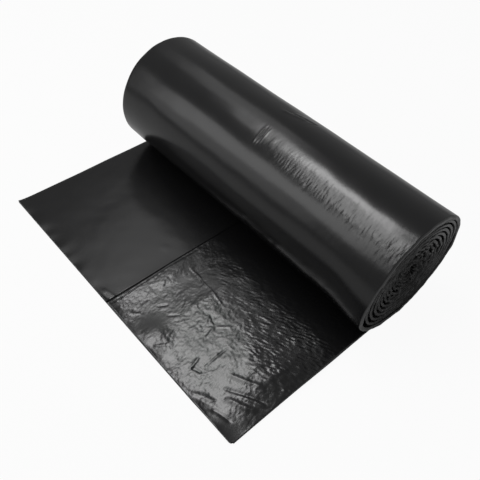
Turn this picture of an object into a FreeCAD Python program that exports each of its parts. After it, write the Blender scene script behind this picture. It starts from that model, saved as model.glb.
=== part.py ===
import FreeCAD, Part
import math
import os

# A roll of bin bags lying on its own unrolled tail, in millimetres.
# +Z is up, X runs along the roll and the tail reaches out towards -Y.
# The origin is on the floor, under the middle of the roll's axis.
# The web is one long folded film. Inside the roll its turns press into one mass,
# and at both ends they part, with a gap that winds from the outside to the core.

SIZES = {
    "web_width": 350,
    "web_thick": 1.8,
    "roll_radius": 63.1,
    "flat_sag": 1,
    "tail_length": 204,
    "turn_gap": 2.8,
    "gap_depth": 8,
    "core_radius": 7,
    "core_squash": 3,
    "crumple_height": 2,
    "fold_gap_width": 2,
    "fold_gap_shift": 1.4,
}
# How many straight steps make one turn, and how often a crumpled turn waves in and out.
STEPS_PER_TURN = 24
WAVES_PER_TURN = 5
WAVE_DRIFT = 0.3
# Waves grow from none outside to their full height two thirds of the way in.
WAVE_GROWTH = 27 / 4


def make_sheet(doc):
    """Writes every size into the sheet, one row each, under its own name."""
    sheet = doc.addObject("Spreadsheet::Sheet", "sizes")
    for row, (name, value) in enumerate(SIZES.items(), start=1):
        sheet.set(f"A{row}", name)
        sheet.set(f"B{row}", str(value))
        sheet.setAlias(f"B{row}", name)
    doc.recompute()
    return sheet


def flat_spot(sheet, radius, angle):
    """How much the roll's weight presses a turn in near its lowest line."""
    from_bottom = math.remainder(angle, 2 * math.pi)
    return sheet.flat_sag * math.exp(-from_bottom**2 * radius / (2 * sheet.flat_sag))


def crumple(sheet, angle, inward):
    """How far a turn near the core leaves its circle."""
    squash = sheet.core_squash * math.cos(2 * angle - 1)
    drift = WAVE_DRIFT * angle / (2 * math.pi)
    wave = sheet.crumple_height * math.cos(WAVES_PER_TURN * angle + drift)
    return inward * squash + WAVE_GROWTH * inward**2 * (1 - inward) * wave


def turn_point(sheet, angle, inset):
    """A point on the winding gap's edge. The angle starts straight down and turns to +Y."""
    pitch = sheet.web_thick + sheet.turn_gap
    depth = inset + pitch * angle / (2 * math.pi)
    radius = sheet.roll_radius - depth
    inward = depth / (sheet.roll_radius - sheet.core_radius)
    reach = radius - flat_spot(sheet, radius, angle) + crumple(sheet, angle, inward)
    axis_height = sheet.roll_radius - sheet.flat_sag
    return FreeCAD.Vector(0, reach * math.sin(angle), axis_height - reach * math.cos(angle))


def turn_edge(sheet, inset):
    """The points along one edge of the winding gap, from the outside to the core."""
    pitch = sheet.web_thick + sheet.turn_gap
    wound = sheet.roll_radius - sheet.core_radius - sheet.web_thick - sheet.turn_gap
    steps = int(wound / pitch * STEPS_PER_TURN)
    return [turn_point(sheet, index * 2 * math.pi / STEPS_PER_TURN, inset)
            for index in range(steps + 1)]


def gap_face(sheet):
    """The gap between the turns, as the roll's end shows it."""
    outer = turn_edge(sheet, sheet.web_thick)
    inner = turn_edge(sheet, sheet.web_thick + sheet.turn_gap)
    return Part.Face(Part.makePolygon(outer + inner[::-1] + outer[:1]))


def make_box(doc, name, length, width, height):
    """A box whose three sizes follow the sheet."""
    box = doc.addObject("Part::Box", name)
    box.setExpression("Length", length)
    box.setExpression("Width", width)
    box.setExpression("Height", height)
    return box


def place(item, x="0", y="0", z="0"):
    """Moves an object by lengths that follow the sheet."""
    item.setExpression("Placement.Base.x", x)
    item.setExpression("Placement.Base.y", y)
    item.setExpression("Placement.Base.z", z)


def make_round_body(doc):
    """The wound part of the web, a round mass pressed flat where it lies."""
    body = doc.addObject("Part::Cylinder", "wound_mass")
    along_x = FreeCAD.Rotation(FreeCAD.Vector(0, 1, 0), 90)
    body.Placement = FreeCAD.Placement(FreeCAD.Vector(), along_x)
    body.setExpression("Radius", "sizes.roll_radius")
    body.setExpression("Height", "sizes.web_width")
    place(body, x="-sizes.web_width / 2", z="sizes.roll_radius - sizes.flat_sag")
    pressed = make_box(doc, "pressed_away", "sizes.web_width", "2 * sizes.roll_radius",
                       "sizes.flat_sag")
    place(pressed, x="-sizes.web_width / 2", y="-sizes.roll_radius", z="-sizes.flat_sag")
    return cut(doc, "pressed_roll", body, pressed)


def make_tail(doc):
    """The unrolled end of the web, which lies flat in front of the roll and under it."""
    tail = make_box(doc, "tail", "sizes.web_width", "sizes.tail_length", "sizes.web_thick")
    place(tail, x="-sizes.web_width / 2", y="-sizes.tail_length")
    return tail


def make_turn_gaps(doc, sheet):
    """The gap between the turns, sunk into both ends of the roll."""
    face = doc.addObject("Part::Feature", "turn_gap_face")
    face.Shape = gap_face(sheet)
    face.Placement = FreeCAD.Placement()
    gaps = []
    for name, start in (("far_turn_gap", "-sizes.web_width / 2"),
                        ("near_turn_gap", "sizes.web_width / 2 - sizes.gap_depth")):
        gap = doc.addObject("Part::Extrusion", name)
        gap.Base = face
        gap.DirMode = "Custom"
        gap.Dir = FreeCAD.Vector(1, 0, 0)
        gap.Solid = True
        gap.setExpression("LengthFwd", "sizes.gap_depth")
        place(gap, x=start)
        gaps.append(gap)
    both_gaps = doc.addObject("Part::Compound", "turn_gaps")
    both_gaps.Links = gaps
    return both_gaps


def make_fold_gap(doc):
    """The narrow gap where the two folded-in side panels meet on the tail."""
    gap = make_box(doc, "fold_gap", "sizes.fold_gap_width",
                   "sizes.tail_length - sizes.roll_radius / 5", "sizes.web_thick")
    place(gap, x="-sizes.fold_gap_shift - sizes.fold_gap_width / 2",
          y="-sizes.tail_length - sizes.web_thick", z="sizes.web_thick / 2")
    return gap


def cut(doc, name, base, tool):
    """One solid less another. There are no faces to merge, so that slow step is off."""
    item = doc.addObject("Part::Cut", name)
    item.Base = base
    item.Tool = tool
    item.Refine = False
    return item


def make_bag_roll(doc, sheet):
    """The finished roll: one web, with its fold gap and its turns parted at both ends."""
    web = doc.addObject("Part::Fuse", "web")
    web.Base = make_round_body(doc)
    web.Tool = cut(doc, "folded_tail", make_tail(doc), make_fold_gap(doc))
    roll = cut(doc, "parted_roll", web, make_turn_gaps(doc, sheet))
    roll.Label = "bag_roll"
    return roll


def check(doc):
    """Stops the build if an object didn't compute or has no sound shape."""
    for item in doc.Objects:
        if "Invalid" in item.State or "Error" in item.State:
            raise RuntimeError(f"{item.Name} is in state {item.State}")
        if hasattr(item, "Shape") and (item.Shape.isNull() or not item.Shape.isValid()):
            raise RuntimeError(f"{item.Name} has no sound shape")


def main():
    os.makedirs("parts", exist_ok=True)
    doc = FreeCAD.newDocument("bin_bag_roll")
    sheet = make_sheet(doc)
    roll = make_bag_roll(doc, sheet)
    doc.recompute()
    check(doc)
    roll.Shape.exportStep(f"parts/{roll.Label}.step")
    print(roll.Label, len(roll.Shape.Solids), "solid", roll.Shape.BoundBox, roll.Shape.Volume)


main()
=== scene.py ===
"""A roll of black bin bags lying on its own unrolled tail, in soft studio light.

The scene and every size are in metres. X runs along the roll, the tail reaches out towards
-Y, +Z is up and the origin is on the floor under the middle of the roll's axis.
"""
import logging
import math
from dataclasses import dataclass
from enum import Enum
from typing import Any, ClassVar, Iterable

import bpy
import numpy as np
from mathutils import Matrix, Vector


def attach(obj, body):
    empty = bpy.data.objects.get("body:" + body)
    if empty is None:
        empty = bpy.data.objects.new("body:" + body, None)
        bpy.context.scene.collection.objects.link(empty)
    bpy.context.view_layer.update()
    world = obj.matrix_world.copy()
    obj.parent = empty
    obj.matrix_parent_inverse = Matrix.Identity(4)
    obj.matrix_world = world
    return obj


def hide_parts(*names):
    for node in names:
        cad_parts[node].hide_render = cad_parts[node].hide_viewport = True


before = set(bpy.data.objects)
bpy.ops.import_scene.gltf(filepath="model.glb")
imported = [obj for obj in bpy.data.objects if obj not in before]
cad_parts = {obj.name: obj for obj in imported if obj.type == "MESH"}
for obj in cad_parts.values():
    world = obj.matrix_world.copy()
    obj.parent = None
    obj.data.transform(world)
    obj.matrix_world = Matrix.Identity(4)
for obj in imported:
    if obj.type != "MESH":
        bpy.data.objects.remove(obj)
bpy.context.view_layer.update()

log = logging.getLogger("bin bag roll")

MM = 0.001
FILM_IOR = 1.5
Number = float | int
Colour = tuple[float, float, float]
Place = tuple[float, float]


class NoiseKind(Enum):
    """The noises that the film's finishes are made from."""

    CLOUDS = "FBM"
    RIDGES = "RIDGED_MULTIFRACTAL"


@dataclass(frozen=True)
class WebSizes:
    """The sizes that every piece of the web shares."""

    width: float = 350 * MM
    tail_length: float = 204 * MM
    roll_radius: float = 63.1 * MM
    axis_height: float = 62.1 * MM
    fold_line: float = -1.6 * MM
    map_size: float = 620 * MM
    near_overhang: float = 3.8 * MM

    @property
    def half_width(self) -> float:
        """The distance from the roll's middle to its ends."""
        return self.width / 2


class Value:
    """A node's output with arithmetic, so that node maths reads as an expression."""

    def __init__(self, tree: "NodeTree", socket: bpy.types.NodeSocket) -> None:
        """Wraps one output socket of a tree."""
        self.tree = tree
        self.socket = socket

    def __add__(self, other: "Value | Number") -> "Value":
        """Adds a number or another value."""
        return self.tree.math("ADD", self, other)

    def __sub__(self, other: "Value | Number") -> "Value":
        """Takes away a number or another value."""
        return self.tree.math("SUBTRACT", self, other)

    def __rsub__(self, other: Number) -> "Value":
        """Takes this value away from a number."""
        return self.tree.math("SUBTRACT", other, self)

    def __mul__(self, other: "Value | Number") -> "Value":
        """Multiplies by a number or another value."""
        return self.tree.math("MULTIPLY", self, other)

    def __neg__(self) -> "Value":
        """Turns the sign."""
        return self.tree.math("MULTIPLY", self, -1.0)

    __radd__ = __add__
    __rmul__ = __mul__


class NodeTree:
    """Adds nodes and links to a shader tree or a geometry tree."""

    # The sockets that a Mix node has for colours. Their names aren't unique.
    MIX_LOW, MIX_HIGH, MIX_RESULT = 6, 7, 2

    def __init__(self, tree: bpy.types.NodeTree) -> None:
        """Starts from an existing tree, with its nodes removed."""
        self.tree = tree
        tree.nodes.clear()

    def node(self, kind: str, settings: dict[str, Any] | None = None,
             inputs: dict[str | int, Any] | None = None) -> bpy.types.Node:
        """Makes a node, sets it up and feeds it.

        Args:
            kind: Blender's type name of the node.
            settings: The node's own properties, set first.
            inputs: Numbers, colours or values by socket name or index.

        Returns:
            The new node.
        """
        node = self.tree.nodes.new(kind)
        for name, setting in (settings or {}).items():
            setattr(node, name, setting)
        for name, source in (inputs or {}).items():
            if isinstance(source, Value):
                self.tree.links.new(source.socket, node.inputs[name])
            else:
                node.inputs[name].default_value = source
        return node

    def value(self, kind: str, settings: dict[str, Any] | None = None,
              inputs: dict[str | int, Any] | None = None, output: str | int = 0) -> Value:
        """Makes a node and returns one of its outputs."""
        return Value(self, self.node(kind, settings, inputs).outputs[output])

    def math(self, operation: str, *terms: Value | Number) -> Value:
        """Adds one Math node over numbers and values."""
        return self.value("ShaderNodeMath", {"operation": operation}, dict(enumerate(terms)))

    def smooth(self, value: Value, low: float, high: float) -> Value:
        """Rises smoothly from 0 at low to 1 at high."""
        return self.value("ShaderNodeMapRange", {"interpolation_type": "SMOOTHSTEP"},
                          {"Value": value, "From Min": low, "From Max": high})

    def vector(self, x: Value | Number, y: Value | Number, z: Value | Number) -> Value:
        """Joins three numbers to a vector."""
        return self.value("ShaderNodeCombineXYZ", None, {"X": x, "Y": y, "Z": z})

    def parts(self, vector: Value) -> tuple[Value, Value, Value]:
        """Splits a vector into its three numbers."""
        split = self.node("ShaderNodeSeparateXYZ", None, {"Vector": vector})
        return tuple(Value(self, split.outputs[axis]) for axis in "XYZ")

    def attribute(self, name: str) -> Value:
        """Reads a number that the mesh carries at its points."""
        return self.value("ShaderNodeAttribute", {"attribute_name": name}, output="Fac")

    def blend(self, share: Value, low: Value | Colour, high: Colour) -> Value:
        """Blends from one colour to another, by a share from 0 to 1."""
        start = low if isinstance(low, Value) else (*low, 1)
        return self.value("ShaderNodeMix", {"data_type": "RGBA"},
                          {"Factor": share, self.MIX_LOW: start, self.MIX_HIGH: (*high, 1)},
                          self.MIX_RESULT)

    def bump(self, height: Value, distance: float, normal: Value | None = None) -> Value:
        """Tilts the surface by a height, over the given normal if there is one."""
        under = {} if normal is None else {"Normal": normal}
        return self.value("ShaderNodeBump", None,
                          {"Strength": 1.0, "Distance": distance, "Height": height, **under},
                          "Normal")

    def noise(self, at: Value, scale: float, detail: float = 2.0, roughness: float = 0.5,
              kind: NoiseKind = NoiseKind.CLOUDS, warp: float = 0.0) -> Value:
        """Adds a noise texture.

        Args:
            at: Where the noise is read.
            scale: How many waves it has per unit.
            detail: How many finer layers are on top.
            roughness: How strong the finer layers are.
            kind: Which noise it is.
            warp: How far the noise bends itself.

        Returns:
            The noise's height, from about 0 to 1.
        """
        return self.value("ShaderNodeTexNoise", {"noise_type": kind.value, "normalize": True},
                          {"Vector": at, "Scale": scale, "Detail": detail,
                           "Roughness": roughness, "Distortion": warp})


class PlaneNoise:
    """Seeded gradient noise over a plane, the same on every run."""

    CELLS = 256

    def __init__(self, seed: int) -> None:
        """Draws one slope for each cell corner."""
        angles = np.random.default_rng(seed).uniform(0, math.tau, (self.CELLS, self.CELLS))
        self.slopes = np.stack([np.cos(angles), np.sin(angles)], axis=-1)

    def at(self, x: np.ndarray, y: np.ndarray) -> np.ndarray:
        """Reads the noise, from about -1 to 1.

        Args:
            x: First coordinate, in cells.
            y: Second coordinate, in cells.

        Returns:
            The noise at each point.
        """
        x, y = np.broadcast_arrays(x, y)
        left, low = np.floor(x).astype(int), np.floor(y).astype(int)
        across, up = x - left, y - low

        def corner(right: int, top: int) -> np.ndarray:
            """The part that one corner of the cell adds."""
            slope = self.slopes[(left + right) % self.CELLS, (low + top) % self.CELLS]
            return slope[..., 0] * (across - right) + slope[..., 1] * (up - top)

        ease_x = across**3 * (across * (across * 6 - 15) + 10)
        ease_y = up**3 * (up * (up * 6 - 15) + 10)
        bottom = corner(0, 0) * (1 - ease_x) + corner(1, 0) * ease_x
        top = corner(0, 1) * (1 - ease_x) + corner(1, 1) * ease_x
        return 1.5 * (bottom * (1 - ease_y) + top * ease_y)

    def layered(self, x: np.ndarray, y: np.ndarray, layers: int = 3) -> np.ndarray:
        """Adds finer and weaker layers of the noise."""
        return sum(0.5**n * self.at(x * 2**n + 7 * n, y * 2**n + 3 * n)
                   for n in range(layers))

    def creased(self, x: np.ndarray, y: np.ndarray) -> np.ndarray:
        """Noise with sharp ridges, from 0 between them to 1 on them."""
        return 1 - np.minimum(1, 2 * np.abs(self.at(x, y)))


def ramp(value: np.ndarray, low: float, high: float) -> np.ndarray:
    """Rises smoothly from 0 at low to 1 at high."""
    share = np.clip((value - low) / (high - low), 0, 1)
    return share * share * (3 - 2 * share)


@dataclass(frozen=True)
class Spot:
    """A soft oval spot on a plane, with its turn in degrees."""

    centre: Place
    reach: Place
    turn: float = 0.0
    strength: float = 1.0

    def at(self, x: np.ndarray, y: np.ndarray) -> np.ndarray:
        """Reads the spot, which has its full strength at its centre.

        Args:
            x: First coordinate of each point.
            y: Second coordinate of each point.

        Returns:
            The spot's strength at each point.
        """
        cosine, sine = math.cos(math.radians(self.turn)), math.sin(math.radians(self.turn))
        right, up = x - self.centre[0], y - self.centre[1]
        along = (right * cosine + up * sine) / self.reach[0]
        across = (up * cosine - right * sine) / self.reach[1]
        return self.strength * np.exp(-along**2 - across**2)


@dataclass(frozen=True)
class Crease:
    """One soft narrow fold from a start to an end, in millimetres."""

    start: Place
    end: Place
    width: float
    rise: float

    def at(self, x: np.ndarray, y: np.ndarray) -> np.ndarray:
        """Reads the crease, which fades out towards both ends.

        Args:
            x: First coordinate of each point.
            y: Second coordinate of each point.

        Returns:
            The crease's height at each point.
        """
        run = np.subtract(self.end, self.start)
        length = float(np.hypot(*run))
        right, up = x - self.start[0], y - self.start[1]
        along = (right * run[0] + up * run[1]) / length
        across = (up * run[0] - right * run[1]) / length
        inside = ramp(along, 0, 0.2 * length) * (1 - ramp(along, 0.8 * length, length))
        return self.rise * inside * np.exp(-(across / self.width)**2)


def build_strip(name: str, points: np.ndarray, film_map: np.ndarray,
                crinkle: np.ndarray, rim: np.ndarray) -> bpy.types.Object:
    """Turns rows of points into a closed tube of faces with capped ends.

    Args:
        name: The new object's name.
        points: Places in metres, by row, by column round the section, by axis.
        film_map: The film's own two coordinates at each point.
        crinkle: How crinkled the film is at each point, from 0 to 1.
        rim: How near each point is to a rim, where the film is rougher and painted paler as a
            sheen, from 0 to 1.

    Returns:
        The new object, linked to the scene.
    """
    rows, columns = points.shape[:2]
    index = np.arange(rows * columns).reshape(rows, columns)
    beside = np.roll(index, -1, axis=1)
    quads = np.stack([index[:-1], beside[:-1], beside[1:], index[1:]], axis=-1)
    faces = quads.reshape(-1, 4).tolist()
    faces.append(index[0, ::-1].tolist())
    faces.append(index[-1].tolist())
    mesh = bpy.data.meshes.new(name)
    mesh.from_pydata(points.reshape(-1, 3).tolist(), [], faces)
    corners = np.empty(len(mesh.loops), dtype=np.int32)
    mesh.loops.foreach_get("vertex_index", corners)
    layer = mesh.uv_layers.new(name="film")
    layer.data.foreach_set("uv", film_map.reshape(-1, 2)[corners].ravel())
    for label, values in (("crinkle", crinkle), ("rim", rim)):
        attribute = mesh.attributes.new(label, "FLOAT", "POINT")
        attribute.data.foreach_set("value", values.ravel())
    mesh.polygons.foreach_set("use_smooth", [True] * len(mesh.polygons))
    mesh.update()
    piece = bpy.data.objects.new(name, mesh)
    bpy.context.scene.collection.objects.link(piece)
    return piece


def dress(piece: bpy.types.Object, material: bpy.types.Material) -> None:
    """Gives a finished piece its material and its place in the frame.

    Args:
        piece: The finished piece.
        material: What it is made of.
    """
    piece.data.materials.clear()
    piece.data.materials.append(material)
    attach(piece, "root")
    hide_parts("bag_roll")
    log.info("%s: %d faces", piece.name, len(piece.data.polygons))


def start_material(name: str) -> tuple[bpy.types.Material, NodeTree]:
    """Makes a material with an empty node tree.

    Args:
        name: The material's name.

    Returns:
        The material and its tree.
    """
    material = bpy.data.materials.new(name)
    material.use_nodes = True
    return material, NodeTree(material.node_tree)


def finish_film(tree: NodeTree, colour: Value, roughness: Value, normal: Value) -> None:
    """Ends a material's tree with the shader that all film shares.

    Args:
        tree: The material's tree.
        colour: The base colour.
        roughness: The roughness.
        normal: The bumped normal.
    """
    shader = tree.value("ShaderNodeBsdfPrincipled", None,
                        {"Base Color": colour, "Roughness": roughness, "Normal": normal,
                         "IOR": FILM_IOR})
    tree.node("ShaderNodeOutputMaterial", None, {"Surface": shader})


@dataclass(frozen=True)
class FilmFinish:
    """Black polyethylene film, satin where smooth and glossy where crinkled.

    The scales count waves per millimetre of film.
    """

    colour: Colour = (0.006, 0.006, 0.0063)
    # Paler colour for whitened fold crests, and for a painted sheen on the roll's rims.
    whitened_fold_and_rim_sheen_colour: Colour = (0.080, 0.080, 0.081)
    smooth_roughness: float = 0.21
    crinkled_roughness: float = 0.235
    patch_roughness: float = 0.06
    rim_roughness: float = 0.15
    wrinkle_scale: float = 0.52
    fine_scale: float = 0.55
    grain_scale: float = 0.09
    patch_scale: float = 0.035
    wrinkle_share: float = 0.6
    wrinkle_height: float = 0.11 * MM
    grain_height: float = 0.05 * MM
    worn_share: float = 0.06
    map_size: float = WebSizes().map_size

    def material(self) -> bpy.types.Material:
        """Builds the film's material from the piece's own map, crinkle and rim values.

        Returns:
            The new material.
        """
        material, tree = start_material("black_film")
        across, along, _ = tree.parts(tree.value("ShaderNodeUVMap", {"uv_map": "film"}))
        across, along = across * (self.map_size / MM), along * (self.map_size / MM)
        crinkle, rim = tree.attribute("crinkle"), tree.attribute("rim")
        even, lengthways = tree.vector(across, along, 0.0), tree.vector(across, along * 0.5, 0.0)
        wrinkles = tree.noise(lengthways, self.wrinkle_scale, 3.0, 0.55, NoiseKind.RIDGES, 0.6)
        fine = tree.noise(even, self.fine_scale, 2.0, 0.6, warp=1.2)
        patches = tree.noise(even, self.patch_scale)
        grain = tree.noise(even, self.grain_scale)
        height = crinkle * (wrinkles * self.wrinkle_share + fine * (1 - self.wrinkle_share))
        normal = tree.bump(height, self.wrinkle_height)
        normal = tree.bump(grain, self.grain_height, normal)
        spread = self.crinkled_roughness - self.smooth_roughness
        roughness = self.smooth_roughness + crinkle * spread
        roughness = roughness + (patches - 0.5) * self.patch_roughness + rim * self.rim_roughness
        # Paler on the crinkles' crests as whitened folds, and on the rims as a painted sheen.
        whitening_and_rim_sheen = tree.smooth(wrinkles, 0.55, 0.95) * crinkle * self.worn_share + rim
        finish_film(tree, tree.blend(whitening_and_rim_sheen, self.colour, self.whitened_fold_and_rim_sheen_colour), roughness, normal)
        return material


@dataclass(frozen=True)
class RimFinish:
    """The cut and folded edges of the film, seen at the roll's ends.

    The scales count waves per metre. The turns' edges carry a painted highlight, and the roll's
    crumpled centre has bright specks painted in as glints; the turns near the outside are nearly
    smooth.
    """

    colour: Colour = (0.006, 0.006, 0.0063)
    edge_highlight_colour: Colour = (0.070, 0.070, 0.071)
    painted_glint_colour: Colour = (0.20, 0.20, 0.203)
    roughness: float = 0.34
    roughness_spread: float = 0.15
    layer_scale: float = 240.0
    crumple_scale: float = 260.0
    crumple_height: float = 0.22 * MM
    crumpled_radius: float = 26 * MM
    smooth_radius: float = 50 * MM
    gap_depth: float = 5 * MM
    edge_depth: float = 1 * MM
    axis_height: float = WebSizes().axis_height
    half_width: float = WebSizes().half_width + WebSizes().near_overhang / 2
    middle: float = WebSizes().near_overhang / 2

    def material(self) -> bpy.types.Material:
        """Builds a material with a painted highlight on the edges, paler than down in the gaps,
        and painted glints in the crumpled centre.

        Returns:
            The new material.
        """
        material, tree = start_material("film_edges")
        place = tree.value("ShaderNodeTexCoord", output="Object")
        x, y, z = tree.parts(place)
        from_middle = tree.math("ABSOLUTE", x - self.middle)
        edge = tree.smooth(from_middle, self.half_width - self.gap_depth,
                           self.half_width - self.edge_depth)
        layers = tree.noise(place, self.layer_scale, 2.0, 0.6)
        crumples = tree.noise(place, self.crumple_scale, 3.0, 0.6, NoiseKind.RIDGES)
        # Painted highlight: the turns' edges are paler, fading back to the film's own black down
        # in the gaps.
        colour = tree.blend(edge * tree.smooth(layers, 0.42, 0.66), self.colour,
                            self.edge_highlight_colour)
        up = z - self.axis_height
        radius = tree.math("SQRT", y * y + up * up)
        centre = 1.0 - tree.smooth(radius, self.crumpled_radius, self.smooth_radius)
        # Painted glints: pale specks on the crumple crests in the roll's crumpled centre.
        colour = tree.blend(tree.smooth(crumples, 0.70, 0.86) * centre, colour,
                            self.painted_glint_colour)
        normal = tree.bump(crumples * (0.10 + centre), self.crumple_height)
        roughness = self.roughness + (crumples - 0.5) * self.roughness_spread
        finish_film(tree, colour, roughness, normal)
        return material


@dataclass
class Tail:
    """The unrolled end of the web, a smooth panel and a crinkled one side by side.

    Its methods count in millimetres, x across the web and y along it, as in the frame.
    """

    sizes: WebSizes
    under_roll: float = 5 * MM
    thickness: float = 0.9 * MM
    tucked_thickness: float = 0.5 * MM
    lowest: float = 0.12 * MM
    underside: float = 0.02 * MM
    lip_height: float = 2.8 * MM
    crest_height: float = 6.8 * MM
    crease_strength: float = 0.75
    corner_radius: float = 3 * MM
    smooth_columns: int = 60
    seam_columns: int = 38
    crinkled_columns: int = 262
    underside_columns: int = 8
    rows: int = 262

    # Where the crinkled panel is smoother than elsewhere.
    CALM_SPOTS: ClassVar[tuple[Spot, ...]] = (
        Spot((42, -183), (17, 9), 60, 0.95), Spot((22, -134), (10, 6), 10, 0.8),
        Spot((84, -194), (15, 6), 0, 0.7), Spot((60, -54), (90, 12), -6, 0.5),
        Spot((162, -197), (17, 11), 10, 0.95))
    # The smooth panel's crinkled corner, and its small dent.
    CRINKLED_CORNER: ClassVar[Spot] = Spot((-8, -199), (12, 7))
    DENT: ClassVar[Spot] = Spot((-24, -120), (7, 4), 40, 0.22)
    # Swellings that tilt the film beside them, with their heights.
    SWELLINGS: ClassVar[tuple[Spot, ...]] = (
        Spot((54, -191), (15, 14), 0, 2.0), Spot((9, -137), (11, 28), 0, 1.4))
    # Where the streaks are strongest.
    STREAKY: ClassVar[Spot] = Spot((148, -114), (30, 24))
    # The single creases: start, end, width and rise.
    CREASES: ClassVar[tuple[Crease, ...]] = (
        Crease((12, -117), (76, -123), 0.9, 0.40), Crease((108, -177), (109, -147), 0.9, -0.38),
        Crease((84, -143), (96, -131), 1.0, 0.35), Crease((84, -143), (70, -138), 1.0, -0.30),
        Crease((84, -143), (88, -158), 1.1, 0.35), Crease((84, -143), (74, -153), 0.9, -0.28),
        Crease((101, -186), (112, -181), 1.6, -0.60), Crease((97, -173), (104, -189), 1.2, 0.35),
        Crease((134, -177), (168, -158), 1.7, -0.65), Crease((140, -183), (171, -169), 2.3, 0.85),
        Crease((146, -172), (172, -160), 1.6, 0.50), Crease((126, -167), (160, -150), 1.8, 0.65),
        Crease((-20, -199), (-2, -193), 1.8, 0.60), Crease((-13, -203), (1, -197), 1.2, -0.45),
        Crease((140, -197), (163, -190), 1.8, -0.50), Crease((118, -200), (140, -190), 2.2, 0.60),
        Crease((64, -199), (72, -186), 1.2, -0.35), Crease((30, -171), (38, -160), 1.2, -0.40),
        Crease((46, -170), (54, -158), 1.1, -0.35), Crease((20, -196), (30, -186), 1.4, 0.40))

    @property
    def fold(self) -> float:
        """Where the two panels meet, as x."""
        return self.sizes.fold_line / MM

    @property
    def front(self) -> float:
        """Where the tail ends, as y."""
        return -self.sizes.tail_length / MM

    def crinkle_at(self, x: np.ndarray, y: np.ndarray) -> np.ndarray:
        """How crinkled the tail is, from smooth at 0 to fully crinkled at 1.

        Args:
            x: Places across the web.
            y: Places along the web.

        Returns:
            The crinkle value at each point.
        """
        amount = 0.82 + 0.36 * PlaneNoise(11).layered(x / 40, y / 34, 2)
        for calm in self.CALM_SPOTS:
            amount -= calm.at(x, y)
        panel = ramp(x, self.fold + 0.5, self.fold + 2)
        corner = self.CRINKLED_CORNER.at(x, y)
        return np.clip(np.clip(amount, 0.04, 1) * panel + corner * (1 - panel), 0, 1)

    def crest_line(self, x: np.ndarray) -> np.ndarray:
        """Where the loose panel puffs up highest, as the y at each x."""
        return -112 - 30 * ramp(x, 76, 148)

    def puffs_at(self, x: np.ndarray, y: np.ndarray) -> np.ndarray:
        """How high the loose panel puffs up from the floor.

        Args:
            x: Places across the web.
            y: Places along the web.

        Returns:
            The height of the puffed film over flat film at each point.
        """
        foot = self.front - 2
        climb = np.maximum((y - foot) / (self.crest_line(x) - foot), 0)**1.4
        rise = climb / (1 + (climb / 0.93)**5)**0.2
        beside_fold = np.exp(-np.maximum(x - self.fold - 1.3, 0) / 28)
        beside_fold = beside_fold * ramp(x, self.fold + 0.3, self.fold + 1.5)
        lip = (self.lip_height / MM + 1.8 * rise) * beside_fold * (1 - ramp(y, -80, -40))
        crest = self.crest_height / MM * rise * (1 - ramp(y, -84, -14))
        crest = crest * np.clip((x - self.fold) / 56, 0, 1) * (1 - 0.4 * ramp(x, 150, 186))
        return lip + crest + sum(swelling.at(x, y) for swelling in self.SWELLINGS)

    def streaks_at(self, x: np.ndarray, y: np.ndarray) -> np.ndarray:
        """How high the long slanting wrinkles behind the crest stand.

        Args:
            x: Places across the web.
            y: Places along the web.

        Returns:
            The height that they add at each point.
        """
        noise = PlaneNoise(5)
        along, across = 0.88 * x + 0.47 * y, 0.88 * y - 0.47 * x
        streaks = 0.13 * noise.layered(across / 2.1 + along / 30, along / 8, 2)
        streaks += 0.15 * noise.creased(across / 3.4 + 4, along / 10)
        patchy = 0.8 + 0.9 * PlaneNoise(12).at(x / 13, y / 11) + self.STREAKY.at(x, y)
        return streaks * np.clip(patchy, 0.2, 2.0) * (1 + 0.5 * ramp(x, 100, 130))

    def wrinkles_at(self, x: np.ndarray, y: np.ndarray) -> np.ndarray:
        """How high the small wrinkles stand where the film is fully crinkled.

        Args:
            x: Places across the web.
            y: Places along the web.

        Returns:
            The height that they add at each point.
        """
        bent = x + 5 * PlaneNoise(3).at(x / 26 + 5, y / 30)
        waves = 0.28 * PlaneNoise(4).layered(bent / 13, y / 15, 2)
        finest = 0.05 * PlaneNoise(8).at(x / 2.3, y / 2.9)
        small = PlaneNoise(5)
        even = 0.10 * small.layered(bent / 2.7, y / 3.4, 2)
        even += 0.05 * small.creased(bent / 3.6 + 9, y / 6 + x / 40)
        behind = ramp(y - self.crest_line(x), -16, 8) * ramp(x, 24, 56)
        return waves + finest + even * (1 - behind) + self.streaks_at(x, y) * behind

    def creases_at(self, x: np.ndarray, y: np.ndarray) -> np.ndarray:
        """How high the single creases stand, each a little bent.

        Args:
            x: Places across the web.
            y: Places along the web.

        Returns:
            The height that they add at each point.
        """
        bend = PlaneNoise(9)
        bent_x, bent_y = x + bend.at(x / 15, y / 15), y + bend.at(x / 14 + 40, y / 14)
        return self.crease_strength * sum(crease.at(bent_x, bent_y) for crease in self.CREASES)

    def front_at(self, x: np.ndarray, y: np.ndarray) -> np.ndarray:
        """How far the front edge curls up and its near corner bends.

        Args:
            x: Places across the web.
            y: Places along the web.

        Returns:
            The height that both add at each point.
        """
        inward = y - self.front
        curl = np.clip(0.9 + 1.5 * PlaneNoise(2).at(x / 19, 3.3), 0, 3)
        curl = curl * np.exp(-inward / 6) * (1 - ramp(x, 128, 160))
        lifted = 2.2 * np.exp(-inward / 16) * ramp(x, 134, 158)
        drooping = 1.3 * np.exp(-inward / 22) * ramp(x, 146, 178)
        return curl + lifted - drooping

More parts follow.
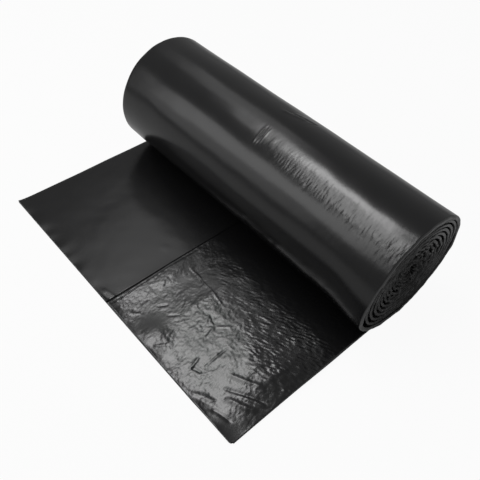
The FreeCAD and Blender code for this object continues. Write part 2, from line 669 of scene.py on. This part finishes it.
    def height_at(self, x: np.ndarray, y: np.ndarray, crinkle: np.ndarray) -> np.ndarray:
        """How high the top of the film lies.

        Args:
            x: Places across the web.
            y: Places along the web.
            crinkle: The crinkle value at each point.

        Returns:
            The height over the floor at each point.
        """
        sway = PlaneNoise(2)
        height = self.thickness / MM + 0.35 * (1 + sway.at(x / 70, y / 60))
        height += 0.09 * sway.layered(x / 24, y / 30, 2) + self.DENT.at(x, y)
        height += self.puffs_at(x, y) + self.creases_at(x, y) + self.front_at(x, y)
        height += crinkle * self.wrinkles_at(x, y)
        from_second_line = x - self.fold - 4.6 - 0.5 * sway.at(y / 20, 1.5)
        height += 0.30 * np.exp(-(from_second_line / 0.6)**2) * (1 - ramp(y, -110, -80))
        height *= 1 - 0.93 * np.exp(-((x - self.fold + 0.8) / 1.45)**4)
        return np.maximum(height, self.lowest / MM)

    def build(self) -> bpy.types.Object:
        """Builds the tail, dense on its crinkled panel and plain underneath.

        Returns:
            The new piece, without a material.
        """
        sizes = self.sizes
        half, radius = sizes.half_width / MM, self.corner_radius / MM
        seam_start, seam_end = self.fold - 5, self.fold + 7
        left = np.linspace(-half, seam_start, self.smooth_columns, endpoint=False)
        seam = np.linspace(seam_start, seam_end, self.seam_columns, endpoint=False)
        right = np.linspace(seam_end, half, self.crinkled_columns)
        under = np.linspace(half, -half, self.underside_columns)
        x, y = np.meshgrid(np.concatenate([left, seam, right, under]),
                           np.linspace(self.front, self.under_roll / MM, self.rows))
        crinkle = self.crinkle_at(x, y)
        tucked = ramp(y, -26, -14)
        height = self.height_at(x, y, crinkle) * (1 - tucked)
        height += self.tucked_thickness / MM * tucked
        height[:, -self.underside_columns:] = self.underside / MM
        corner = np.clip(x - (half - radius), 0, radius)
        drawn_in = radius - np.sqrt(radius**2 - corner**2)
        drawn_in += 0.35 * (1 + PlaneNoise(6).at(x / 22, 0.5))
        drawn_in *= 1 - ramp(y, self.front, self.front + 12)
        narrowed = 1 - 0.002 * (1 + PlaneNoise(7).at(y / 50, 0.5))
        points = np.stack([x * narrowed, y + drawn_in, height], axis=-1) * MM
        film_map = np.stack([x + half, y - self.front], axis=-1) * MM / sizes.map_size
        return build_strip("tail", points[:, ::-1], film_map[:, ::-1], crinkle[:, ::-1],
                           np.zeros_like(crinkle))


@dataclass
class OuterTurn:
    """The outermost turn of the roll, which carries the same two panels.

    Its methods count in millimetres along the roll and in degrees round it. The angle
    starts straight down and turns to the back, over the top and down the front.
    """

    sizes: WebSizes
    start_angle: float = 3.0
    end_angle: float = 364.0
    thickness: float = 2.6 * MM
    drop_per_turn: float = 1.2 * MM
    near_sag: float = 4.8 * MM
    floor_gap: float = 0.03 * MM
    smooth_columns: int = 60
    mark_columns: int = 38
    crinkled_columns: int = 250
    rim_columns: int = 6
    inside_columns: int = 8
    rows: int = 216

    # The creases where the wrinkled band starts: place along the roll, width and rise.
    MARKS: ClassVar[tuple[tuple[float, float, float], ...]] = (
        (2.4, 0.8, 0.34), (4.1, 0.7, -0.38), (5.6, 0.7, 0.44), (7.1, 0.8, -0.30),
        (8.6, 0.9, 0.20))
    # Where columns lie close together for them, from start to end along the roll.
    MARKED_STRETCH: ClassVar[tuple[float, float]] = (-4, 14)
    # Crinkled spots, by place along the roll and angle.
    CRINKLED_SPOTS: ClassVar[tuple[Spot, ...]] = (
        Spot((13, 160), (16, 6), 0, 1.3), Spot((5, 204), (7, 12), 0, 0.5))
    # Creases near the top, by place along the roll and arc round it.
    TOP_CREASES: ClassVar[tuple[Crease, ...]] = (
        Crease((-9, 187), (20, 176), 2.0, 0.55), Crease((-5, 183), (24, 172), 2.0, -0.45),
        Crease((-1, 179), (28, 168), 2.0, 0.50))

    @property
    def near_end(self) -> float:
        """Where the near rim starts to round off, as x."""
        return (self.sizes.half_width + self.sizes.near_overhang - self.thickness / 2) / MM

    @property
    def far_end(self) -> float:
        """Where the far rim starts to round off, as x."""
        return (self.thickness / 2 - self.sizes.half_width) / MM

    def back_at(self, angle: np.ndarray) -> np.ndarray:
        """How far a point is on the roll's back, from 0 to 1."""
        return ramp(angle, 24, 60) * (1 - ramp(angle, 112, 136))

    def crinkle_at(self, x: np.ndarray, angle: np.ndarray) -> np.ndarray:
        """How crinkled the turn is, from smooth at 0 to fully crinkled at 1.

        Args:
            x: Places along the roll.
            angle: Places round the roll.

        Returns:
            The crinkle value at each point.
        """
        patches = PlaneNoise(21).layered(x / 40, angle / 30, 2)
        panel = ramp(x, 6, 30)
        top = 194 + 5 * ramp(x, 20, 110) + 6 * ramp(x, 110, 155)
        low = 212 + 6 * ramp(x, 30, 140)
        band = ramp(angle, top, top + 7) * (1 - 0.9 * ramp(angle, low, low + 9))
        share = 0.55 + 0.4 * ramp(x, 40, 110) + 0.4 * patches
        front = panel * share * band * (1 - ramp(angle, 240, 262))
        elsewhere = 0.04 + 0.05 * PlaneNoise(22).at(x / 60, angle / 40)
        elsewhere += self.back_at(angle) * (0.2 + 0.35 * panel) * (1 + 1.2 * patches)
        spots = sum(spot.at(x, angle) for spot in self.CRINKLED_SPOTS)
        return np.clip(np.maximum(front, elsewhere) + spots, 0, 1)

    def creases_at(self, x: np.ndarray, angle: np.ndarray, arc: np.ndarray) -> np.ndarray:
        """How high the single creases stand.

        Args:
            x: Places along the roll.
            angle: Places round the roll.
            arc: The same places as lengths round the roll.

        Returns:
            The height that they add at each point.
        """
        slant = x - 0.10 * (arc - 225)
        marks = sum(rise * np.exp(-((slant - middle) / width)**2)
                    for middle, width, rise in self.MARKS)
        marks = marks * ramp(angle, 192, 200) * (1 - ramp(angle, 205, 216))
        return marks + sum(crease.at(x, arc) for crease in self.TOP_CREASES)

    def swell_at(self, x: np.ndarray, angle: np.ndarray, crinkle: np.ndarray) -> np.ndarray:
        """How far the film stands out from its even turn.

        Args:
            x: Places along the roll.
            angle: Places round the roll.
            crinkle: The crinkle value at each point.

        Returns:
            The height over the even turn at each point.
        """
        arc = np.radians(angle) * self.sizes.roll_radius / MM
        loose, lines = PlaneNoise(23), PlaneNoise(24)
        swell = 0.35 * loose.at(x / 120, arc / 60) + 0.26 * loose.layered(x / 60, arc / 40, 2)
        folds = 0.65 * loose.layered((x + 0.4 * arc) / 42 + 9, arc / 10, 2)
        folds += 0.40 * loose.creased((x - 0.5 * arc) / 34 + 3, arc / 12)
        wrinkles = 0.12 * lines.layered((x + 0.10 * arc) / 5.5, arc / 13, 2)
        wrinkles += 0.14 * lines.creased((x - 0.12 * arc) / 3.0, arc / 7)
        wrinkles *= 1 + 0.45 * ramp(x, 80, 125)
        wrinkles += 0.11 * lines.layered(x / 2.8 + 5, arc / 5, 2)
        bend = (angle - 197) / 9
        wavy_edge = 0.30 * lines.at(x / 24, 7.7) * bend * np.exp(-bend**2) * ramp(x, 20, 60)
        swell += self.back_at(angle) * folds + crinkle * wrinkles + wavy_edge
        return swell + self.creases_at(x, angle, arc)

    def reach_at(self, x: np.ndarray, angle: np.ndarray, depth: np.ndarray,
                 crinkle: np.ndarray) -> np.ndarray:
        """How far the film is from the roll's axis.

        Args:
            x: Places along the roll.
            angle: Places round the roll.
            depth: How deep each point lies below the turn's outer face.
            crinkle: The crinkle value at each point.

        Returns:
            The distance from the axis at each point.
        """
        radius = self.sizes.roll_radius / MM
        from_bottom = np.radians(np.remainder(angle + 180, 360) - 180)
        flat = np.exp(-from_bottom**2 * radius / 2)
        bundled = 1 + 0.7 * ramp(angle, 20, 170) * (1 - ramp(angle, 335, 362))
        swell = self.swell_at(x, angle, crinkle) * (1 - depth * MM / self.thickness)
        sag = self.near_sag / MM * ramp(x, 128, 178) * np.exp(-((angle - 292) / 26)**2)
        drop = self.drop_per_turn / MM * angle / 360
        return radius - flat - drop - depth * bundled + swell * (1 - flat) + sag

    def section(self) -> tuple[np.ndarray, np.ndarray]:
        """Lays out the points round the turn's section.

        Returns:
            Their places along the roll, and their depths below the outer face.
        """
        thick = self.thickness / MM
        start, end = self.MARKED_STRETCH
        outside = np.concatenate([
            np.linspace(self.far_end, start, self.smooth_columns, endpoint=False),
            np.linspace(start, end, self.mark_columns, endpoint=False),
            np.linspace(end, self.near_end, self.crinkled_columns)])
        inside = np.linspace(self.near_end, self.far_end, self.inside_columns)
        bend = np.linspace(0, math.pi, self.rim_columns + 2)[1:-1]
        bulge, rim_depth = np.sin(bend) * thick / 2, (1 - np.cos(bend)) * thick / 2
        x = np.concatenate([outside, self.near_end + bulge, inside,
                            (self.far_end - bulge)[::-1]])
        depth = np.concatenate([np.zeros(len(outside)), rim_depth,
                                np.full(len(inside), thick), rim_depth[::-1]])
        return x, depth

    def build(self) -> bpy.types.Object:
        """Builds the turn as a closed strip with rounded rims at both ends.

        Returns:
            The new piece, without a material.
        """
        sizes = self.sizes
        half, near_end, far_end = sizes.half_width / MM, self.near_end, self.far_end
        section_x, section_depth = self.section()
        angles = np.linspace(self.start_angle, self.end_angle, self.rows)
        x, angle = np.meshgrid(section_x, angles)
        depth = np.broadcast_to(section_depth, x.shape)
        crinkle = self.crinkle_at(x, angle)
        reach = self.reach_at(x, angle, depth, crinkle)
        turned = np.radians(angle)
        ragged = PlaneNoise(25).layered(turned * 3, np.zeros_like(turned), 3)
        shift = 0.7 * ramp(x, near_end - 14, near_end) + 0.25 * ramp(-x, half - 14, half)
        height = sizes.axis_height / MM - reach * np.cos(turned)
        points = np.stack([x + ragged * shift, reach * np.sin(turned),
                           np.maximum(height, self.floor_gap / MM)], axis=-1)
        film_map = np.stack([(x + half) * MM, sizes.tail_length + turned * sizes.roll_radius],
                            axis=-1) / sizes.map_size
        # The rims are rougher, and their colour is painted paler as a sheen.
        rim = ramp(x, near_end, near_end + 1) + ramp(-x, -far_end, 1 - far_end)
        rim = rim * (0.8 + 0.4 * ragged)
        return build_strip("outer_turn", points * MM, film_map, crinkle, rim)


@dataclass
class WoundTurns:
    """The turns inside the outermost one, made by a rule in Geometry Nodes."""

    sizes: WebSizes
    turns: float = 12.2
    pitch: float = 4.35 * MM
    first_inset: float = 5.0 * MM
    thickness: float = 3.3 * MM
    looseness: float = 9 * MM
    crumple: float = 12 * MM
    tip_sag: float = 1.7 * MM
    rim_notch: float = 1.1 * MM
    recess: float = 0.4 * MM
    centre_recess: float = 3 * MM
    ragged_recess: float = 2.4 * MM
    ragged_centre: float = 9 * MM
    seal_distance: float = 0.004 * MM
    steps_per_turn: int = 84
    section_points: int = 12

    INPUTS: ClassVar[tuple[str, ...]] = ("Turns", "Pitch", "Outer Radius", "Thickness",
                                         "Half Width", "Axis Height", "Middle")

    def wound_place(self, tree: NodeTree, given: dict[str, Value]) -> Value:
        """Works out where each point of the flat grid goes.

        Args:
            tree: The node tree to add to.
            given: The tree's own inputs, by name.

        Returns:
            The place of each point in the wound turns.
        """
        flat_x, flat_y, _ = tree.parts(tree.value("GeometryNodeInputPosition"))
        along, around = flat_x + 0.5, flat_y + 0.5
        turn = along * given["Turns"]
        angle = turn * math.tau
        section = around * math.tau + math.pi / self.section_points
        cosine, sine = tree.math("COSINE", section), tree.math("SINE", section)
        out_y, out_z = tree.math("SINE", angle), -tree.math("COSINE", angle)

        def sway(scale: float, change: float, detail: float, roughness: float) -> Value:
            """Noise round the roll, from about -0.5 to 0.5, that changes from turn to turn."""
            at = tree.vector(out_y * scale, out_z * scale, turn * change)
            return tree.noise(at, 1.0, detail, roughness) - 0.5

        loose, tight = sway(1.6, 0.16, 2.0, 0.5), sway(3.6, 0.42, 3.0, 0.55)
        ragged = sway(3.2, 1.7, 3.0, 0.6)
        inner = tree.smooth(along, 0.18, 0.75)
        taper = tree.math("MINIMUM", along * 260.0, (1.0 - along) * 130.0)
        thin = given["Thickness"] * 0.5 * tree.math("MINIMUM", taper, 1.0)
        side = tree.math("SIGN", cosine)
        tip = tree.smooth(tree.math("COSINE", angle - math.radians(290)), 0.6, 1.0)
        tip = tip * (1.0 - tree.smooth(along, 0.0, 0.3)) * (side + 1.0)
        reach = given["Outer Radius"] - given["Pitch"] * turn
        reach = reach + loose * inner * self.looseness + tight * inner * self.crumple
        reach = reach + tip * self.tip_sag + sine * thin * (0.85 + ragged * 0.5)
        recess = ragged * (self.ragged_recess + inner * self.ragged_centre)
        recess = recess + inner * self.centre_recess + self.recess
        notch = 1.0 - tree.smooth(tree.math("ABSOLUTE", sine), 0.1, 0.9)
        half = given["Half Width"] - given["Thickness"] * 0.5 - recess - notch * self.rim_notch
        x = side * half + cosine * thin + given["Middle"]
        return tree.vector(x, reach * out_y, given["Axis Height"] + reach * out_z)

    def tree(self, material: bpy.types.Material) -> tuple[bpy.types.NodeTree, dict[str, str]]:
        """Builds the node tree that winds a flat grid into turns.

        Args:
            material: What the turns are made of.

        Returns:
            The tree, and the identifier of each of its named inputs.
        """
        group = bpy.data.node_groups.new("wind_turns", "GeometryNodeTree")
        for way in ("INPUT", "OUTPUT"):
            group.interface.new_socket("Geometry", in_out=way,
                                       socket_type="NodeSocketGeometry")
        names = {}
        for name in self.INPUTS:
            socket = group.interface.new_socket(name, in_out="INPUT",
                                                socket_type="NodeSocketFloat")
            names[name] = socket.identifier
        tree = NodeTree(group)
        inputs = tree.node("NodeGroupInput")
        given = {name: Value(tree, inputs.outputs[name]) for name in names}
        steps = round(self.turns * self.steps_per_turn)
        grid = tree.value("GeometryNodeMeshGrid", None,
                          {"Size X": 1.0, "Size Y": 1.0, "Vertices X": steps + 1,
                           "Vertices Y": self.section_points + 1}, "Mesh")
        wound = tree.value("GeometryNodeSetPosition", None,
                           {"Geometry": grid, "Position": self.wound_place(tree, given)})
        sealed = tree.value("GeometryNodeMergeByDistance", None,
                            {"Geometry": wound, "Distance": self.seal_distance})
        smooth = tree.value("GeometryNodeSetShadeSmooth", None, {"Geometry": sealed})
        real = tree.value("GeometryNodeRealizeInstances", None, {"Geometry": smooth})
        dressed = tree.value("GeometryNodeSetMaterial", None,
                             {"Geometry": real, "Material": material})
        tree.node("NodeGroupOutput", None, {"Geometry": dressed})
        return group, names

    def build(self, material: bpy.types.Material) -> bpy.types.Object:
        """Winds the turns.

        Args:
            material: What the turns are made of.

        Returns:
            The new piece, as a plain mesh.
        """
        group, names = self.tree(material)
        host = bpy.data.objects.new("inner_turns", bpy.data.meshes.new("winding_start"))
        bpy.context.scene.collection.objects.link(host)
        modifier = host.modifiers.new("wind_turns", "NODES")
        modifier.node_group = group
        sizes = self.sizes
        for name, value in {"Turns": self.turns, "Pitch": self.pitch,
                            "Outer Radius": sizes.roll_radius - self.first_inset,
                            "Thickness": self.thickness,
                            "Half Width": sizes.half_width + sizes.near_overhang / 2,
                            "Axis Height": sizes.axis_height,
                            "Middle": sizes.near_overhang / 2}.items():
            modifier[names[name]] = value
        graph = bpy.context.evaluated_depsgraph_get()
        mesh = bpy.data.meshes.new_from_object(host.evaluated_get(graph),
                                               preserve_all_data_layers=True,
                                               depsgraph=graph)
        host.modifiers.clear()
        host.data = mesh
        return host


@dataclass(frozen=True)
class Softbox:
    """One soft studio lamp, a glowing panel that faces a point."""

    name: str
    place: tuple[float, float, float]
    target: tuple[float, float, float]
    size: tuple[float, float]
    heading: float
    brightness: float

    def build(self) -> bpy.types.Object:
        """Adds the lamp, with its power worked out from how bright its face is.

        Returns:
            The lamp.
        """
        light = bpy.data.lights.new(self.name, "AREA")
        light.shape = "RECTANGLE"
        light.size, light.size_y = self.size
        light.energy = self.brightness * self.size[0] * self.size[1] * math.pi
        back = (Vector(self.place) - Vector(self.target)).normalized()
        turn = math.radians(self.heading)
        side = Vector((math.cos(turn), math.sin(turn), 0))
        side = (side - back * side.dot(back)).normalized()
        lamp = bpy.data.objects.new(self.name, light)
        turned = Matrix((side, back.cross(side), back)).transposed().to_4x4()
        lamp.matrix_world = Matrix.Translation(self.place) @ turned
        bpy.context.scene.collection.objects.link(lamp)
        return lamp


@dataclass
class Studio:
    """The pale floor, the soft lamps, the dim room and the camera."""

    floor_size: float = 12.0
    floor_drop: float = 0.2 * MM
    floor_colour: float = 0.58
    floor_white_share: float = 0.94
    room_brightness: float = 0.25
    camera_place: tuple[float, float, float] = (0.29408, -0.34440, 0.45313)
    camera_turn: tuple[float, float, float] = (-47.02, -48.465, -3.414)
    camera_focal_pixels: float = 578.28
    camera_centre_x: float = 216.0
    sensor_width: float = 36.0
    image_size: int = 480

    # Four lamps overhead, one beside them and two in front.
    LAMPS: ClassVar[tuple[Softbox, ...]] = (
        Softbox("overhead", (-0.25, -0.01, 1.0), (-0.1, -0.1, 0), (0.29, 0.24), -18, 10.0),
        Softbox("overhead_left", (-0.47, 0.03, 1.0), (-0.1, -0.1, 0), (0.18, 0.42), -12, 3.4),
        Softbox("overhead_front", (-0.185, -0.35, 1.0), (-0.1, -0.2, 0), (0.38, 0.42), 14, 4.9),
        Softbox("overhead_low", (-0.12, -0.73, 1.0), (-0.1, -0.2, 0), (0.24, 0.32), 14, 2.6),
        Softbox("side_panel", (-0.68, 0.32, 1.0), (-0.3, 0.0, 0), (0.45, 0.48), 0, 0.84),
        Softbox("front", (-0.61, -1.00, 0.86), (0, -0.05, 0.1), (0.92, 0.55), 0, 2.1),
        Softbox("front_low", (-0.87, -1.30, 0.43), (0, -0.05, 0.1), (0.78, 0.46), 0, 0.85))

    def build_floor(self) -> None:
        """Adds the floor, which looks white to the camera and keeps soft shadows."""
        half, low = self.floor_size / 2, -self.floor_drop
        mesh = bpy.data.meshes.new("floor")
        mesh.from_pydata([(-half, -half, low), (half, -half, low), (half, half, low),
                          (-half, half, low)], [], [(0, 1, 2, 3)])
        floor = bpy.data.objects.new("floor", mesh)
        bpy.context.scene.collection.objects.link(floor)
        material, tree = start_material("pale_floor")
        pale = (self.floor_colour, self.floor_colour, self.floor_colour, 1)
        matte = tree.value("ShaderNodeBsdfDiffuse", None, {"Color": pale})
        white = tree.value("ShaderNodeEmission", None, {"Color": (1, 1, 1, 1)})
        seen = tree.value("ShaderNodeLightPath", output="Is Camera Ray")
        mixed = tree.value("ShaderNodeMixShader", None,
                           {0: seen * self.floor_white_share, 1: matte, 2: white})
        tree.node("ShaderNodeOutputMaterial", None, {"Surface": mixed})
        mesh.materials.append(material)

    def build_room(self) -> None:
        """Sets a dim even room, with a white background for the camera."""
        world = bpy.data.worlds.new("studio_room")
        world.use_nodes = True
        bpy.context.scene.world = world
        tree = NodeTree(world.node_tree)
        seen = tree.value("ShaderNodeLightPath", output="Is Camera Ray")
        strength = self.room_brightness + seen * (1 - self.room_brightness)
        shade = tree.value("ShaderNodeBackground", None,
                           {"Color": (1, 1, 1, 1), "Strength": strength})
        tree.node("ShaderNodeOutputWorld", None, {"Surface": shade})

    def build_camera(self) -> None:
        """Adds the camera where the photo was taken from."""
        yaw, pitch, roll = (math.radians(turn) for turn in self.camera_turn)
        forward = Vector((math.sin(yaw) * math.cos(pitch), math.cos(yaw) * math.cos(pitch),
                          math.sin(pitch)))
        level = Vector((math.cos(yaw), -math.sin(yaw), 0))
        down = forward.cross(level)
        right = math.cos(roll) * level + math.sin(roll) * down
        down = math.cos(roll) * down - math.sin(roll) * level
        data = bpy.data.cameras.new("camera")
        data.sensor_width = self.sensor_width
        data.lens = self.sensor_width * self.camera_focal_pixels / self.image_size
        data.shift_x = 0.5 - self.camera_centre_x / self.image_size
        camera = bpy.data.objects.new("camera", data)
        turned = Matrix((right, -down, -forward)).transposed().to_4x4()
        camera.matrix_world = Matrix.Translation(self.camera_place) @ turned
        bpy.context.scene.collection.objects.link(camera)
        bpy.context.scene.camera = camera

    def build(self) -> None:
        """Adds everything that isn't the object."""
        self.build_floor()
        self.build_room()
        for lamp in self.LAMPS:
            lamp.build()
        self.build_camera()
        bpy.context.scene.view_settings.view_transform = "Standard"


def main() -> None:
    """Builds the pieces in order, dresses them and lights them."""
    logging.basicConfig(level=logging.INFO)
    sizes = WebSizes()
    film = FilmFinish().material()
    rims = RimFinish().material()
    tail = Tail(sizes).build()
    dress(tail, film)
    dress(OuterTurn(sizes).build(), film)
    dress(WoundTurns(sizes).build(rims), rims)
    Studio().build()


if __name__ == "__main__":
    main()
